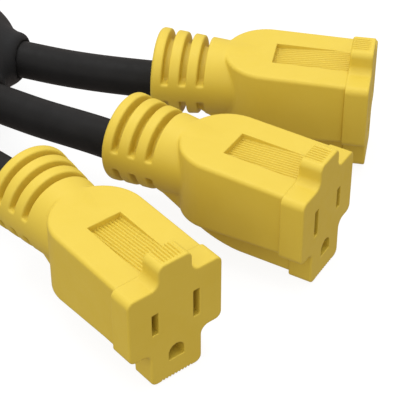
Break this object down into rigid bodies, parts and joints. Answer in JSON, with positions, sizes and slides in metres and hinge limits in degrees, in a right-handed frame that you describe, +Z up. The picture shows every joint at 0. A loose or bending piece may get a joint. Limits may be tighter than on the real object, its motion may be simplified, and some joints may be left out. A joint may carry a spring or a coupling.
{
  "type": "shore power cord",
  "caption": "Fan-shaped socket end of a recreational vehicle power cord: dark junction block, short round leads and bright moulded grounded sockets.",
  "frame": {"origin": "on the surface that the cord lies on, in the middle of the junction's flat underside", "axes": "+X from the junction to the middle socket, +Y to the left, +Z up"},
  "size_m": [0.19, 0.1356, 0.0372],
  "materials": {
    "yellow_moulding": "soft satin moulded vinyl",
    "black_moulding": "soft satin moulded vinyl",
    "cord_jacket": "satin extruded jacket",
    "splice_carrier": "matte moulded nylon",
    "tinned_copper": "tinned, satin",
    "brass": "formed sheet brass",
    "hot_insulation": "satin insulation",
    "neutral_insulation": "satin insulation",
    "ground_insulation": "satin insulation"
  },
  "bodies": {
    "root": {"junction_housing": "black_moulding", "supply_gland_bushing": "black_moulding", "splice_carrier": "splice_carrier", "hot_splice": "tinned_copper", "neutral_splice": "tinned_copper", "ground_splice": "tinned_copper", "left_lead": "cord_jacket", "junction_left_hot_conductor": "hot_insulation", "junction_left_neutral_conductor": "neutral_insulation", "junction_left_ground_conductor": "ground_insulation", "middle_lead": "cord_jacket", "junction_middle_hot_conductor": "hot_insulation", "junction_middle_neutral_conductor": "neutral_insulation", "junction_middle_ground_conductor": "ground_insulation", "right_lead": "cord_jacket", "junction_right_hot_conductor": "hot_insulation", "junction_right_neutral_conductor": "neutral_insulation", "junction_right_ground_conductor": "ground_insulation", "left_socket_housing": "yellow_moulding", "left_socket_insert": "yellow_moulding", "left_socket_hot_contact": "brass", "left_socket_neutral_contact": "brass", "left_socket_ground_contact": "brass", "left_socket_hot_conductor": "hot_insulation", "left_socket_neutral_conductor": "neutral_insulation", "left_socket_ground_conductor": "ground_insulation", "middle_socket_housing": "yellow_moulding", "middle_socket_insert": "yellow_moulding", "middle_socket_hot_contact": "brass", "middle_socket_neutral_contact": "brass", "middle_socket_ground_contact": "brass", "middle_socket_hot_conductor": "hot_insulation", "middle_socket_neutral_conductor": "neutral_insulation", "middle_socket_ground_conductor": "ground_insulation", "right_socket_housing": "yellow_moulding", "right_socket_insert": "yellow_moulding", "right_socket_hot_contact": "brass", "right_socket_neutral_contact": "brass", "right_socket_ground_contact": "brass", "right_socket_hot_conductor": "hot_insulation", "right_socket_neutral_conductor": "neutral_insulation", "right_socket_ground_conductor": "ground_insulation"}
  },
  "joints": []
}
